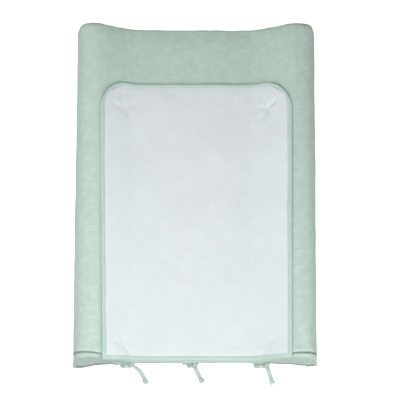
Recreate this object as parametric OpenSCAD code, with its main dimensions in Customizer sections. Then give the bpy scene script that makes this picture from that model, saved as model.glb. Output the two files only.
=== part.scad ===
// Changing pad with raised sides: a foam core in a wipe-clean liner, inside a fitted
// cover that is tied shut at the foot end, with a terry towel snapped on top.
// Millimetres. Origin: middle of the underside. +X is the right side, +Y the head end.

/* [Pad] */
// Width across the covered pad
pad_w = 500; // [460:5:560]
// Length from the foot end to the head end
pad_l = 720; // [660:5:800]
// Height of the raised sides
wall_h = 100; // [94:1:115]
// Height of the trough between the sides
base_h = 45; // [42:1:50]
// Steepness of the inner slopes in degrees
slope_angle = 37; // [34:1:40]
// From the outside of a wall to where its inner slope would reach the full height
wall_top_w = 47; // [46:1:55]
// Radius of the hollow where the trough turns up into a slope
hollow_r = 60; // [45:1:70]
// Radius of the crest between a slope and the wall's top
crest_r = 25; // [15:1:28]
// Radius of the outer shoulder of a wall
shoulder_r = 35; // [28:1:35]
// Radius along the bottom edges
bottom_r = 8; // [6:1:10]

/* [Cover] */
// Thickness of the cover fabric
cover_t = 1.2; // [0.8:0.1:1.6]
// Height of the seam between the top panel and a side panel
side_seam_z = 64; // [50:1:64]
// How far the foot flap sits in behind the edge of the top panel
flap_recess = 6; // [4:1:8]
// Height of the foot flap's lower edge
flap_low_z = 10; // [8:1:14]
// Width of the hem along each flap
hem_w = 12; // [8:1:14]
// Thickness that a hem adds on each side of its flap
hem_t = 1; // [0.6:0.1:1.2]
// Height of the tuck flap behind the foot flap
tuck_h = 38; // [30:1:40]

/* [Liner] */
// Thickness of the wipe-clean liner
liner_t = 0.8; // [0.4:0.1:1.0]
// Height of the weld between the liner's two halves
liner_weld_z = 25; // [20:1:30]
// Half of the width of the flat centre block of foam
slab_half_w = 100; // [80:1:105]

/* [Towel] */
// Width of the towel as it lies, seen from above
towel_w = 404; // [380:2:404]
// Length of the towel
towel_l = 598; // [560:1:620]
// Radius of the two corners at the head end
towel_corner_r = 70; // [50:1:80]
// Thickness of the terry layer
terry_t = 3.4; // [2.8:0.1:5]
// Thickness of the backing under the terry
backing_t = 0.8; // [0.6:0.1:1.0]
// Width of the binding round the edge
binding_w = 9; // [7:0.5:12]
// Thickness of the binding fabric
binding_t = 0.6; // [0.4:0.1:0.8]

/* [Snaps] */
// Distance of a snap from the centre line
snap_x = 153; // [150:1:158]
// Distance of the upper snaps from the towel's head edge
snap_head_gap = 58; // [45:1:70]
// Distance of the lower snaps from the towel's foot edge
snap_foot_gap = 30; // [30:1:50]
// Diameter of the plates of a snap
snap_plate_d = 12; // [10:0.5:13]
// Depth of the dimple that a snap presses into the pad
dimple_depth = 4; // [4:0.1:5]

/* [Ties] */
// Width of a tie tape
tape_w = 8; // [6:0.5:8]
// Thickness of a tie tape
tape_t = 2; // [1.4:0.1:2.4]
// Radius of the knot that closes a pair of tapes
knot_r = 5; // [4:0.5:5]
// Radius of the small knot at the end of a tape
end_knot_r = 4; // [3:0.5:4]

/* [Hidden] */

$fn = 48;
arc_steps = 8;
cut = 1;
above_all = 20;
green = [0.80, 0.86, 0.81];
green_deep = [0.72, 0.80, 0.75];
white = [0.95, 0.96, 0.96];
foam_yellow = [0.95, 0.91, 0.72];
liner_grey = [0.86, 0.88, 0.89];
snap_white = [0.92, 0.92, 0.90];

// Layers, as depths below the outside of the cover.
layer_gap = 0.2;
liner_d = cover_t + layer_gap;
foam_d = liner_d + liner_t + layer_gap;

// Ends of the pad and of what is inside it.
foot_y = -pad_l / 2;
head_y = pad_l / 2;
flap_y = foot_y + flap_recess;
hem_gap = 0.6;
hem_side_gap = 0.5;
tuck_y = flap_y + cover_t + 2 * hem_t + hem_gap;
core_gap = hem_t + 3;
liner_foot_y = tuck_y + cover_t + core_gap;
liner_head_y = head_y - cover_t - layer_gap;
foam_foot_y = liner_foot_y + liner_t + layer_gap;
foam_head_y = liner_head_y - liner_t - layer_gap;

// The cross-section: the slope's two ends before they are rounded.
half_w = pad_w / 2;
slope_top_x = half_w - wall_top_w;
slope_foot_x = slope_top_x - (wall_h - base_h) / tan(slope_angle);
crest_run = crest_r * tan(slope_angle / 2);
hollow_run = hollow_r * tan(slope_angle / 2);

// The towel's layers, as heights above the cover.
towel_lift = 0.3;
binding_gap = 0.1;
backing_z = towel_lift + binding_t + binding_gap;
terry_z = backing_z + backing_t;
towel_top_z = terry_z + terry_t;
binding_top_z = towel_top_z + binding_gap + binding_t;
terry_inset = binding_t + binding_gap;
towel_foot_gap = 2;
towel_foot_y = foot_y + towel_foot_gap;
towel_head_y = towel_foot_y + towel_l;

// The snaps, as heights above the cover along each snap's own axis.
snap_ys = [towel_head_y - snap_head_gap, towel_foot_y + snap_foot_gap];
snap_z = base_h + (snap_x - slope_foot_x) * tan(slope_angle);
plate_t = 1;
dimple_gap = 0.4;
post_d = 3;
post_hole_d = 3.2;
knob_d = 6;
knob_h = 2.1;
socket_bore_d = 9.4;
socket_h = 2.7;
cap_pocket_d = snap_plate_d + 2 * dimple_gap;
cap_pocket_h = plate_t + layer_gap;
lift_clearance = 3.5;
dimple_r = snap_plate_d / 2 + lift_clearance;
liner_dimple_r = dimple_r + cover_t + dimple_gap;
liner_dimple_depth = dimple_depth + cover_t + plate_t + dimple_gap;
foam_dimple_r = liner_dimple_r + liner_t + dimple_gap;
foam_dimple_depth = liner_dimple_depth + liner_t + dimple_gap;

// Ties: each pair's knot, and the routes of its two tapes. An upper tape leaves the foot
// flap's hem and ends in a small knot on the surface that the pad lies on. A lower tape
// comes out under the hem and its tail lies along the flap.
tape_sides = 8;
knot_points = [[-133, -360, 23], [-2, -360, 23], [148, -360, 23]];
upper_left = [
    [-136, -355, 18], [-133, -360, 23], [-127, -364, 21], [-120, -368, 14],
    [-113, -374, 7], [-108, -382, 4], [-102, -394, 4]
];
upper_middle = [
    [-5, -355, 18], [-2, -360, 23], [0, -364, 21], [2, -368, 14],
    [5, -374, 7], [9, -382, 4], [14, -391, 4]
];
upper_right = [
    [145, -355, 18], [148, -360, 23], [150, -364, 21], [152, -368, 14],
    [154, -374, 7], [157, -383, 4], [160, -394, 4]
];
lower_left = [
    [-129, -350, 4], [-129, -356, 5], [-131, -361, 12], [-135, -361, 21],
    [-143, -359, 26], [-152, -359, 27], [-161, -359, 26], [-170, -359, 24]
];
lower_middle = [
    [3, -350, 4], [3, -356, 5], [1, -361, 12], [-4, -361, 21],
    [-11, -359, 26], [-19, -359, 27], [-26, -359, 25]
];
lower_right = [
    [152, -350, 4], [152, -356, 5], [150, -361, 12], [146, -361, 21],
    [138, -359, 26], [129, -359, 27], [121, -359, 25]
];

// Points of a round stretch about (cx, cy), from angle a0 to angle a1.
function arc(cx, cy, r, a0, a1) = [
    for (i = [0 : arc_steps])
        let (a = a0 + (a1 - a0) * i / arc_steps)
        [cx + r * cos(a), cy + r * sin(a)]
];

// The right half of the cross-section, drawn d inside the outer surface: up the outside
// of the wall, over the crest, down the slope and in to the centre line.
function half_section(d) = concat(
    arc(half_w - bottom_r, bottom_r, bottom_r - d, -90, 0),
    arc(half_w - shoulder_r, wall_h - shoulder_r, shoulder_r - d, 0, 90),
    arc(slope_top_x + crest_run, wall_h - crest_r, crest_r - d, 90, 90 + slope_angle),
    arc(slope_foot_x - hollow_run, base_h + hollow_r, hollow_r + d,
        slope_angle - 90, -90)
);

function mirrored(points) = [
    for (i = [len(points) - 1 : -1 : 0]) [-points[i][0], points[i][1]]
];

module section(d) {
    half = half_section(d);
    polygon(concat(half, mirrored(half)));
}

// Extrudes a cross-section along the pad, from y0 to y1.
module along(y0, y1) {
    translate([0, y1, 0]) rotate([90, 0, 0]) linear_extrude(y1 - y0) children();
}

// A block as wide as the pad and more, between two heights and two ends.
module slice(z0, z1, y0 = foot_y - 50, y1 = head_y + 50, x0 = -pad_w, x1 = pad_w) {
    translate([x0, y0, z0]) cube([x1 - x0, y1 - y0, z1 - z0]);
}

// Puts its children at each snap, with +Z along the snap's axis, out of the slope.
module at_snaps() {
    for (side = [-1, 1], y = snap_ys)
        translate([side * snap_x, y, snap_z]) rotate([0, -side * slope_angle, 0]) children();
}

// A cylinder between two heights along the snap's axis.
module disc(d, z0, z1) {
    translate([0, 0, z0]) cylinder(d = d, h = z1 - z0);
}

// A layer t thick, d below the cover's outside, with a round dimple pressed in at each snap.
module dimpled(r, depth, t, d) {
    difference() {
        union() {
            children();
            at_snaps() disc(2 * (r + t), -depth - t, -d - t / 2);
        }
        at_snaps() disc(2 * r, -depth, above_all);
    }
}

module foam_core() {
    difference() {
        along(foam_foot_y, foam_head_y) section(foam_d);
        at_snaps() disc(2 * foam_dimple_r, -foam_dimple_depth, above_all);
    }
}

module foam_slab() {
    color(foam_yellow) intersection() {
        along(foam_foot_y, foam_head_y) section(foam_d);
        slice(0, wall_h, x0 = -slab_half_w, x1 = slab_half_w);
    }
}

module foam_bolster(side) {
    x0 = side > 0 ? slab_half_w : -pad_w;
    x1 = side > 0 ? pad_w : -slab_half_w;
    color(foam_yellow) intersection() {
        foam_core();
        slice(0, wall_h, x0 = x0, x1 = x1);
    }
}

module liner() {
    dimpled(liner_dimple_r, liner_dimple_depth, liner_t, liner_d) difference() {
        along(liner_foot_y, liner_head_y) section(liner_d);
        along(liner_foot_y + liner_t, liner_head_y - liner_t) section(liner_d + liner_t);
    }
}

module liner_upper() {
    color(liner_grey) intersection() {
        liner();
        slice(liner_weld_z, wall_h);
    }
}

module liner_lower() {
    color(liner_grey) intersection() {
        liner();
        slice(0, liner_weld_z);
    }
}

// The cover's fabric as one tube along the pad, before it is cut into panels.
module cover_tube(y0) {
    difference() {
        along(y0, head_y - cover_t) section(0);
        along(y0 - cut, head_y) section(cover_t);
    }
}

module cover_top() {
    color(green) difference() {
        dimpled(dimple_r, dimple_depth, cover_t, 0) intersection() {
            cover_tube(foot_y);
            union() {
                slice(side_seam_z, wall_h + cut);
                slice(base_h / 2, wall_h + cut, x0 = -slope_top_x, x1 = slope_top_x);
            }
        }
        at_snaps() disc(post_hole_d, -above_all, 0);
    }
}

module cover_side(side) {
    x0 = side > 0 ? slope_top_x : -pad_w;
    x1 = side > 0 ? pad_w : -slope_top_x;
    color(green) intersection() {
        cover_tube(foot_y);
        slice(bottom_r, side_seam_z, x0 = x0, x1 = x1);
    }
}

module cover_head() {
    color(green) along(head_y - cover_t, head_y) section(0);
}

module cover_base() {
    color(green_deep) intersection() {
        cover_tube(tuck_y);
        slice(0, bottom_r);
    }
}

module cover_foot_flap() {
    color(green) intersection() {
        along(flap_y, flap_y + cover_t) section(cover_t);
        slice(flap_low_z, wall_h);
    }
}

module cover_tuck_flap() {
    color(green_deep) intersection() {
        along(tuck_y, tuck_y + cover_t) section(cover_t);
        slice(0, tuck_h);
    }
}

// A folded hem from height z0 to z1, round the edge of a flap that lies in the slot
// between heights slot_z0 and slot_z1: it covers both faces and closes over the edge.
module hem(y, z0, z1, slot_z0, slot_z1) {
    difference() {
        intersection() {
            along(y - hem_t, y + cover_t + hem_t) section(cover_t + hem_side_gap);
            slice(z0, z1);
        }
        slice(slot_z0, slot_z1, y, y + cover_t);
    }
}

module hem_foot_flap() {
    color(green_deep)
        hem(flap_y, flap_low_z - hem_t, flap_low_z + hem_w, flap_low_z, wall_h);
}

module hem_tuck_flap() {
    color(green_deep) hem(tuck_y, tuck_h - hem_w, tuck_h + hem_t, 0, tuck_h);
}

// Vector helpers for the tapes.
function unit(v) = v / norm(v);
function heading(p, i) = unit(p[min(i + 1, len(p) - 1)] - p[max(i - 1, 0)]);

// The ring of a flat tape round point i: its width lies level, across the route.
function tape_ring(p, i) =
    let (
        t = heading(p, i),
        level = abs(t[2]) > 0.9 ? [1, 0, 0] : unit(cross(t, [0, 0, 1])),
        up = cross(level, t)
    )
    [
        for (k = [0 : tape_sides - 1])
            let (a = 360 * (k + 0.5) / tape_sides)
            p[i] + level * tape_w / 2 * cos(a) + up * tape_t / 2 * sin(a)
    ];

// A flat tape swept along its route's own points.
module tape(p) {
    n = tape_sides;
    last = len(p) - 1;
    rings = [for (i = [0 : last]) each tape_ring(p, i)];
    walls = [
        for (i = [0 : last - 1], k = [0 : n - 1])
            let (a = i * n + k, b = i * n + (k + 1) % n)
            each [[a, b, b + n], [a, b + n, a + n]]
    ];
    start = [for (k = [n - 1 : -1 : 0]) k];
    end = [for (k = [0 : n - 1]) last * n + k];
    polyhedron(rings, concat([start], walls, [end]));
}

module tie_tape(p) {
    color(green) tape(p);
}

module tie_knot(i) {
    color(green_deep) translate(knot_points[i]) sphere(r = knot_r);
}

module tie_end(p) {
    last = p[len(p) - 1];
    color(green_deep) translate([last[0], last[1], end_knot_r + layer_gap]) sphere(r = end_knot_r);
}

// The stud half of each snap stands in the cover's dimple, and its back is under the cover.
module snap_studs() {
    color(snap_white) at_snaps() {
        disc(snap_plate_d, -dimple_depth, -dimple_depth + plate_t);
        disc(knob_d, -dimple_depth, -dimple_depth + plate_t + knob_h);
    }
}

module snap_stud_backs() {
    floor_z = -dimple_depth - cover_t;
    color(snap_white) at_snaps() {
        disc(snap_plate_d, floor_z - plate_t, floor_z);
        disc(post_d, floor_z - plate_t, -dimple_depth);
    }
}

// The towel seen from above, drawn d inside its edge: round corners at the head end only.
module towel_outline(d) {
    r = towel_corner_r;
    x = towel_w / 2 - d;
    right = concat(
        [[x, towel_foot_y + d]],
        arc(towel_w / 2 - r, towel_head_y - r, r - d, 0, 90)
    );
    polygon(concat(right, mirrored(right)));
}

// A layer of the towel between two heights above the cover, inside its outline.
module towel_layer(z0, z1, d) {
    intersection() {
        difference() {
            along(foot_y, head_y) section(-z1);
            along(foot_y - cut, head_y + cut) section(-z0);
        }
        linear_extrude(2 * wall_h) towel_outline(d);
        slice(base_h / 2, 2 * wall_h);
    }
}

module towel_terry() {
    color(white) difference() {
        towel_layer(terry_z, towel_top_z, terry_inset);
        at_snaps() disc(cap_pocket_d, terry_z - cut, terry_z + cap_pocket_h);
    }
}

module towel_backing() {
    color(white) difference() {
        towel_layer(backing_z, terry_z, terry_inset);
        at_snaps() disc(post_hole_d, 0, above_all);
    }
}

// The binding wraps the towel's edge: under it, round it and over it.
module towel_binding() {
    color(green) difference() {
        towel_layer(towel_lift, binding_top_z, 0);
        towel_layer(towel_lift + binding_t, binding_top_z - binding_t, binding_t);
        linear_extrude(2 * wall_h) towel_outline(binding_w);
    }
}

// The socket half of each snap hangs under the backing, round the stud's knob.
module snap_sockets() {
    color(snap_white) at_snaps() {
        disc(snap_plate_d, backing_z - plate_t, backing_z);
        difference() {
            disc(snap_plate_d, -socket_h, backing_z - plate_t);
            disc(socket_bore_d, -socket_h - cut, backing_z - plate_t);
        }
    }
}

module snap_caps() {
    color(snap_white) at_snaps() {
        disc(snap_plate_d, terry_z, terry_z + plate_t);
        disc(post_d, backing_z, terry_z);
    }
}

foam_slab();
foam_bolster(-1);  // foam_bolster_left
foam_bolster(1);  // foam_bolster_right
liner_upper();
liner_lower();
cover_top();
cover_side(-1);  // cover_side_left
cover_side(1);  // cover_side_right
cover_head();
cover_base();
cover_foot_flap();
cover_tuck_flap();
hem_foot_flap();
hem_tuck_flap();
tie_tape(upper_left);  // tie_left_upper
tie_tape(lower_left);  // tie_left_lower
tie_knot(0);  // tie_left_knot
tie_end(upper_left);  // tie_left_end
tie_tape(upper_middle);  // tie_middle_upper
tie_tape(lower_middle);  // tie_middle_lower
tie_knot(1);  // tie_middle_knot
tie_end(upper_middle);  // tie_middle_end
tie_tape(upper_right);  // tie_right_upper
tie_tape(lower_right);  // tie_right_lower
tie_knot(2);  // tie_right_knot
tie_end(upper_right);  // tie_right_end
snap_studs();
snap_stud_backs();
towel_terry();
towel_backing();
towel_binding();
snap_sockets();
snap_caps();
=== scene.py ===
"""Looks of a changing pad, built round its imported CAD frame.

Metres, in the frame's axes: +X is the right side, +Y the head end and +Z up. The cover, the
foam, the liner, the towel and the ties are pieces of their own here. Only the snaps stay CAD
nodes, and they get their finish here.
"""

import math

import bpy
import numpy as np
from mathutils import Matrix, Vector
from mathutils.kdtree import KDTree


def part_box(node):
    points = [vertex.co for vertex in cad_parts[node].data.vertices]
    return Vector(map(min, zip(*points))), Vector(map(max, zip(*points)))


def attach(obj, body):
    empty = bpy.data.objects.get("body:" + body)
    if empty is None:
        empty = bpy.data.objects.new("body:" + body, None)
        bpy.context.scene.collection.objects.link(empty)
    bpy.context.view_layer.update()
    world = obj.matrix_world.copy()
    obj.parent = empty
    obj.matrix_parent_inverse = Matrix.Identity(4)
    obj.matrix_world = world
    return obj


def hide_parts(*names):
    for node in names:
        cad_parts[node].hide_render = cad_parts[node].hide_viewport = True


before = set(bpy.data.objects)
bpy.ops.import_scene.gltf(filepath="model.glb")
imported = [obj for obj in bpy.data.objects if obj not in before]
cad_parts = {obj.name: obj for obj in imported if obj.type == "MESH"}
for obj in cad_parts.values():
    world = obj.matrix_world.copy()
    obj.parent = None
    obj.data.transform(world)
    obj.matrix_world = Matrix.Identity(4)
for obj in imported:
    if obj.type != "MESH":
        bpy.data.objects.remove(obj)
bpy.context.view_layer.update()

MM = 0.001

# The pad, from the frame.
HALF_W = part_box("cover_side_right")[1].x
SEAM_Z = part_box("cover_side_right")[1].z
WALL_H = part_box("cover_top")[1].z
FOOT_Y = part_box("cover_top")[0].y
HEAD_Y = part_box("cover_head")[1].y
LAYERS = WALL_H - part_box("foam_bolster_right")[1].z
TROUGH_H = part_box("foam_slab")[1].z + LAYERS
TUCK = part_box("cover_tuck_flap")

# The arcs of its cross-section, as in the part's source.
SLOPE = math.radians(37)
WALL_TOP_W = 47 * MM
HOLLOW_R = 60 * MM
CREST_R = 25 * MM
SHOULDER_R = 35 * MM
BOTTOM_R = 8 * MM

# How the cover is filled and drawn in.
FLARE = 1.4 * MM
HEAD_LEAN = 1.2 * MM
HEAD_CORNER_R = 12 * MM
HEAD_FULL = 2.6 * MM
FLAP_RECESS = 6 * MM
FLAP_RIDGE = 2 * MM
FOLD_H = 1.9 * MM
SEAM_PULL = 4 * MM
CORNER_PULL = 6 * MM
EAR_LEFT = 6.5 * MM
EAR_RIGHT = 1.5 * MM
EAR_X = 200 * MM
EAR_OUT = 3 * MM
EAR_REACH = 35 * MM
SEAM_GROOVE = 0.9 * MM
WALL_FOOT_X = 150 * MM
WALL_X = 195 * MM
CREASE_X = 207 * MM
CREASE_DEPTH = 3.6 * MM
CREASE_LIP = 1.4 * MM
SWELL = 1.6 * MM
SWELL_UNDER_TOWEL = 0.2 * MM
SWELL_PRESSURE = 3
SWELL_FRAMES = 15

# The towel as it lies, its snaps and its stitches.
TOWEL_FOOT_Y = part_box("towel_terry")[0].y
TOWEL_HEAD_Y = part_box("towel_binding")[1].y
TOWEL_HALF_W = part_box("towel_binding")[1].x
TOWEL_CORNER_R = 70 * MM
TERRY = (1.8 * MM, 5.4 * MM)
BACKING = (1.0 * MM, 1.8 * MM)
SNAP_X = 153 * MM
SNAP_YS = (TOWEL_HEAD_Y - 58 * MM, TOWEL_FOOT_Y + 30 * MM)
SNAP_DIMPLE = 4.3 * MM
STITCH_INSET = 7.4 * MM
STITCH_PITCH = 3.2 * MM
STITCH_L = 2.4 * MM
STITCH_R = 0.28 * MM

# The tapes' routes, as in the part's source, in millimetres.
TAPE_W = 8 * MM
TAPE_T = 1.6 * MM
ROUTES = {
    "tie_left_upper": [
        (-136, -355, 18), (-133, -360, 23), (-127, -364, 21), (-120, -368, 14),
        (-113, -374, 7), (-108, -382, 4), (-102, -394, 4),
    ],
    "tie_middle_upper": [
        (-5, -355, 18), (-2, -360, 23), (0, -364, 21), (2, -368, 14),
        (5, -374, 7), (9, -382, 4), (14, -391, 4),
    ],
    "tie_right_upper": [
        (145, -355, 18), (148, -360, 23), (150, -364, 21), (152, -368, 14),
        (154, -374, 7), (157, -383, 4), (160, -394, 4),
    ],
    "tie_left_lower": [
        (-129, -350, 4), (-129, -356, 5), (-131, -361, 12), (-135, -361, 21),
        (-143, -359, 26), (-152, -359, 27), (-161, -359, 26), (-170, -359, 24),
    ],
    "tie_middle_lower": [
        (3, -350, 4), (3, -356, 5), (1, -361, 12), (-4, -361, 21),
        (-11, -359, 26), (-19, -359, 27), (-26, -359, 25),
    ],
    "tie_right_lower": [
        (152, -350, 4), (152, -356, 5), (150, -361, 12), (146, -361, 21),
        (138, -359, 26), (129, -359, 27), (121, -359, 25),
    ],
}

# The camera: above the foot end, far away, so that lines stay nearly parallel.
CAMERA_TARGET = Vector((0, 0, 50 * MM))
CAMERA_DISTANCE = 8
CAMERA_ELEVATION = math.radians(74.29)
CAMERA_ROLL = math.radians(0.066)
CAMERA_SLIDE = (10.1 * MM, -13.9 * MM)
CAMERA_LENS = 343.9
SENSOR = 36

# The light: each lamp's name, place, target, size in metres and power in watts.
FLOOR_HALF_W = 6
SKY_STRENGTH = 0.2
LAMPS = (
    ("main", (-0.3, -0.4, 1.3), (-0.15, -0.2, 0), 0.7, 8),
    ("head end", (-0.9, 0.4, 1.3), (-0.45, 0.2, 0), 0.7, 3),
    ("foot end", (0.9, -1.1, 1.3), (0.45, -0.55, 0), 0.7, 9),
    ("left fill", (-2.4, 0, 0.6), (-0.2, 0, 0.05), 1.2, 12),
    ("right fill", (2.4, 0, 0.6), (0.2, 0, 0.05), 1.2, 5),
    ("front fill", (1.5, -1.9, 0.5), (0, -0.3, 0.05), 1.2, 12),
    ("low front fill", (-0.5, -2.4, 0.3), (0, -0.3, 0.05), 1.2, 13),
)


# ---- Helpers ----


def waves(points, size, seed, count=24):
    """A smooth random field, mostly within -1 and 1, with lumps about size across."""
    random = np.random.default_rng(seed)
    directions = random.normal(size=(count, points.shape[-1]))
    directions /= np.linalg.norm(directions, axis=1)[:, None]
    turns = math.pi / (size * random.uniform(0.7, 1.6, count))
    phases = random.uniform(0, 2 * math.pi, count)
    total = np.sin(points @ (directions * turns[:, None]).T + phases).sum(-1)
    return total / math.sqrt(count)


def step(value, low, high):
    """0 below low, 1 above high, and smooth between them."""
    t = np.clip((np.asarray(value) - low) / (high - low), 0, 1)
    return t * t * (3 - 2 * t)


def bell(value, width):
    return np.exp(-((value / width) ** 2))


def graded(start, end, fine, coarse, reach=6):
    """Points from start to end, close together at both ends and further apart between."""
    cells = max(int(round(abs(end - start) / coarse)), 2 * reach + 2)
    sizes = np.ones(cells)
    ramp = np.linspace(fine / coarse, 1, reach)
    sizes[:reach] = ramp
    sizes[-reach:] = ramp[::-1]
    run = np.concatenate(([0], np.cumsum(sizes)))
    return start + (end - start) * run / run[-1]


def grid_faces(index):
    """Quads over a grid of point numbers."""
    quads = (index[:-1, :-1], index[:-1, 1:], index[1:, 1:], index[1:, :-1])
    return np.stack(quads, -1).reshape(-1, 4)


def unit(vectors):
    return vectors / np.maximum(np.linalg.norm(vectors, axis=-1, keepdims=True), 1e-12)


def path_run(path):
    """How far along a path each of its points lies."""
    return np.concatenate(([0], np.cumsum(np.linalg.norm(np.diff(path, axis=0), axis=1))))


def at_run(places, run, path):
    """What a path's points come to at some distances along it."""
    return np.column_stack([np.interp(places, run, path[:, k]) for k in range(3)])


def tube_index(rows, count, closed=False):
    """Point numbers of a tube's rings, each closed, and the tube too if it is a loop."""
    index = np.arange(rows * count).reshape(rows, count)
    index = np.concatenate((index, index[:, :1]), axis=1)
    return np.concatenate((index, index[:1])) if closed else index


def place_object(name, data):
    thing = bpy.data.objects.new(name, data)
    bpy.context.scene.collection.objects.link(thing)
    return thing


def read(items, attribute, width=1, kind=float):
    """One attribute of a mesh's vertices, loops or faces."""
    values = np.zeros(len(items) * width, kind)
    items.foreach_get(attribute, values)
    return values if width == 1 else values.reshape(-1, width)


def new_piece(name, points, faces, uv=None, smooth=True):
    """A mesh object. uv has one (u, v) for each point, in metres along the cloth."""
    mesh = bpy.data.meshes.new(name)
    mesh.from_pydata(np.asarray(points).tolist(), [], faces if isinstance(faces, list) else faces.tolist())
    if uv is not None:
        corners = read(mesh.loops, "vertex_index", kind=np.int32)
        layer = mesh.uv_layers.new(name="cloth")
        layer.data.foreach_set("uv", np.asarray(uv, np.float32)[corners].ravel())
    mesh.polygons.foreach_set("use_smooth", [smooth] * len(mesh.polygons))
    mesh.update()
    return place_object(name, mesh)


def evaluated_mesh(piece):
    """The piece's mesh with its modifiers applied, and the mesh's points."""
    mesh = piece.evaluated_get(bpy.context.evaluated_depsgraph_get()).to_mesh()
    return mesh, read(mesh.vertices, "co", 3)


def finish_piece(piece, material, body, nodes=()):
    """Gives a piece its material, its body and the CAD nodes that it stands for."""
    piece.data.materials.clear()
    piece.data.materials.append(material)
    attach(piece, body)
    if nodes:
        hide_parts(*nodes)


def thicken(piece, thickness):
    """Gives a sheet its thickness, inwards from the side that shows."""
    modifier = piece.modifiers.new("thickness", "SOLIDIFY")
    modifier.thickness = thickness
    modifier.offset = -1
    modifier.use_rim = True


def finish_padded(piece, thickness, material, node):
    """Finishes a sheet of the pad that has filling behind it."""
    thicken(piece, thickness)
    finish_piece(piece, material, "pad", [node])


def refine(piece):
    """One round of subdivision."""
    modifier = piece.modifiers.new("refine", "SUBSURF")
    modifier.levels = 1
    modifier.render_levels = 1
    return modifier


def vertex_normals(points, faces):
    a, b, c, d = (points[faces[:, corner]] for corner in range(4))
    face_normals = np.cross(c - a, d - b)
    total = np.zeros_like(points)
    for corner in range(4):
        np.add.at(total, faces[:, corner], face_normals)
    return unit(total)


def nearest(points, targets):
    """Distance from each point to the nearest target."""
    tree = KDTree(len(targets))
    for number, target in enumerate(targets):
        tree.insert(target, number)
    tree.balance()
    return np.array([tree.find(p)[2] for p in points])


# ---- The pad's cross-section ----


def arc(x, z, radius, start, end, count=16):
    """Points on an arc, from one angle to the other, in degrees."""
    angles = np.radians(np.linspace(start, end, count))
    return np.column_stack((x + radius * np.cos(angles), z + radius * np.sin(angles)))


def half_outline():
    """The cover's outline from the middle of the trough to the bottom edge, right half."""
    slope = math.degrees(SLOPE)
    top_x = HALF_W - WALL_TOP_W
    foot_x = top_x - (WALL_H - TROUGH_H) / math.tan(SLOPE)
    hollow_x = foot_x - HOLLOW_R * math.tan(SLOPE / 2)
    crest_x = top_x + CREST_R * math.tan(SLOPE / 2)
    return np.concatenate((
        [(0, TROUGH_H)],
        arc(hollow_x, TROUGH_H + HOLLOW_R, HOLLOW_R, -90, slope - 90),
        arc(crest_x, WALL_H - CREST_R, CREST_R, 90 + slope, 90),
        arc(HALF_W - SHOULDER_R, WALL_H - SHOULDER_R, SHOULDER_R, 90, 0, 24),
        [(HALF_W, BOTTOM_R)],
    ))


OUTLINE = half_outline()
RUN = np.concatenate(([0], np.cumsum(np.hypot(*np.diff(OUTLINE, axis=0).T))))
LOW_S = RUN[-1]
SEAM_S = LOW_S - (SEAM_Z - BOTTOM_R)


def on_outline(distance):
    return np.interp(distance, RUN, OUTLINE[:, 0]), np.interp(distance, RUN, OUTLINE[:, 1])


def lay(s, height=0.0):
    """(x, z) at a height above the cover; s runs along its outline, negative on the left."""
    s = np.asarray(s, float)
    distance = np.abs(s)
    side = np.where(s < 0, -1, 1)
    x, z = on_outline(distance)
    ahead = on_outline(distance + 2 * MM)
    behind = on_outline(np.maximum(distance - 2 * MM, 0))
    along_x, along_z = ahead[0] - behind[0], ahead[1] - behind[1]
    length = np.maximum(np.hypot(along_x, along_z), 1e-9)
    return side * (x - height * along_z / length), z + height * along_x / length


def outline_run(x):
    """How far along the outline a point over x lies, on the top side."""
    top = OUTLINE[:, 0] < HALF_W - MM
    return float(np.interp(x, OUTLINE[top, 0], RUN[top]))


SNAP_S = outline_run(SNAP_X)
TOWEL_S = outline_run(TOWEL_HALF_W)
CREASE_S = outline_run(CREASE_X)


def flare(x, y):
    """The walls lean a little: to the right at the head end, and out at the foot end."""
    outer = step(np.abs(x), 165 * MM, 220 * MM)
    to_foot = (HEAD_Y - y) / (HEAD_Y - FOOT_Y)
    return x + outer * (HEAD_LEAN * (1 - to_foot) + np.sign(x) * FLARE * to_foot)


def round_corners(x, y, half_w, end_y, radius):
    """Rounds the two corners at the head end, as seen from above."""
    over_x = np.abs(x) - (half_w - radius)
    over_y = y - (end_y - radius)
    inside = (over_x > 0) & (over_y > 0)
    length = np.maximum(np.hypot(over_x, over_y), 1e-9)
    share = np.where(inside, np.maximum(over_x, over_y) / length, 1)
    x = np.where(inside, np.sign(x) * (half_w - radius + over_x * share), x)
    y = np.where(inside, end_y - radius + over_y * share, y)
    return x, y


def foot_shift(x, drop):
    """How far the foot end moves towards the head; drop goes from 0 at the top to 1 below."""
    outward = np.clip((np.abs(x) - WALL_FOOT_X) / (HALF_W - WALL_FOOT_X), 0, 1)
    corner = np.clip((np.abs(x) - EAR_X) / (HALF_W - EAR_X), 0, 1)
    ear = np.where(x < 0, EAR_LEFT, EAR_RIGHT)
    recess = (1 - outward) * FLAP_RECESS * step(drop, 0.1, 1)
    pull = SEAM_PULL * step(np.abs(x), WALL_FOOT_X, WALL_X) + CORNER_PULL * corner**2
    ridge = FLAP_RIDGE * bell(drop - 0.16, 0.1) * (1 - corner**2)
    return recess - ridge + pull * (1 - step(drop, 0, 0.2)) - ear * outward**1.6 * drop**2


def foot_wrinkles(x, drop):
    """Folds in the flap below a wall: a fan from the towel's corner and short upright ones."""
    side_x = np.abs(x) - WALL_X
    down = drop * 90 * MM - 8 * MM
    away = np.hypot(side_x, down)
    fan = np.sin(7 * np.arctan2(down, side_x)) * step(away, 4 * MM, 20 * MM)
    fan = fan * step(side_x, -25 * MM, 5 * MM)
    upright = np.sin((side_x + 4 * MM * drop) * 2 * math.pi / (13 * MM))
    upright = upright * step(side_x, 20 * MM, 40 * MM)
    folds = np.where(x < 0, fan + 0.3 * upright, 0.5 * fan + upright)
    return FOLD_H * folds * step(drop, 0.05, 0.25) * step(HALF_W - np.abs(x), 0, 12 * MM)


# ---- The cover ----

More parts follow.
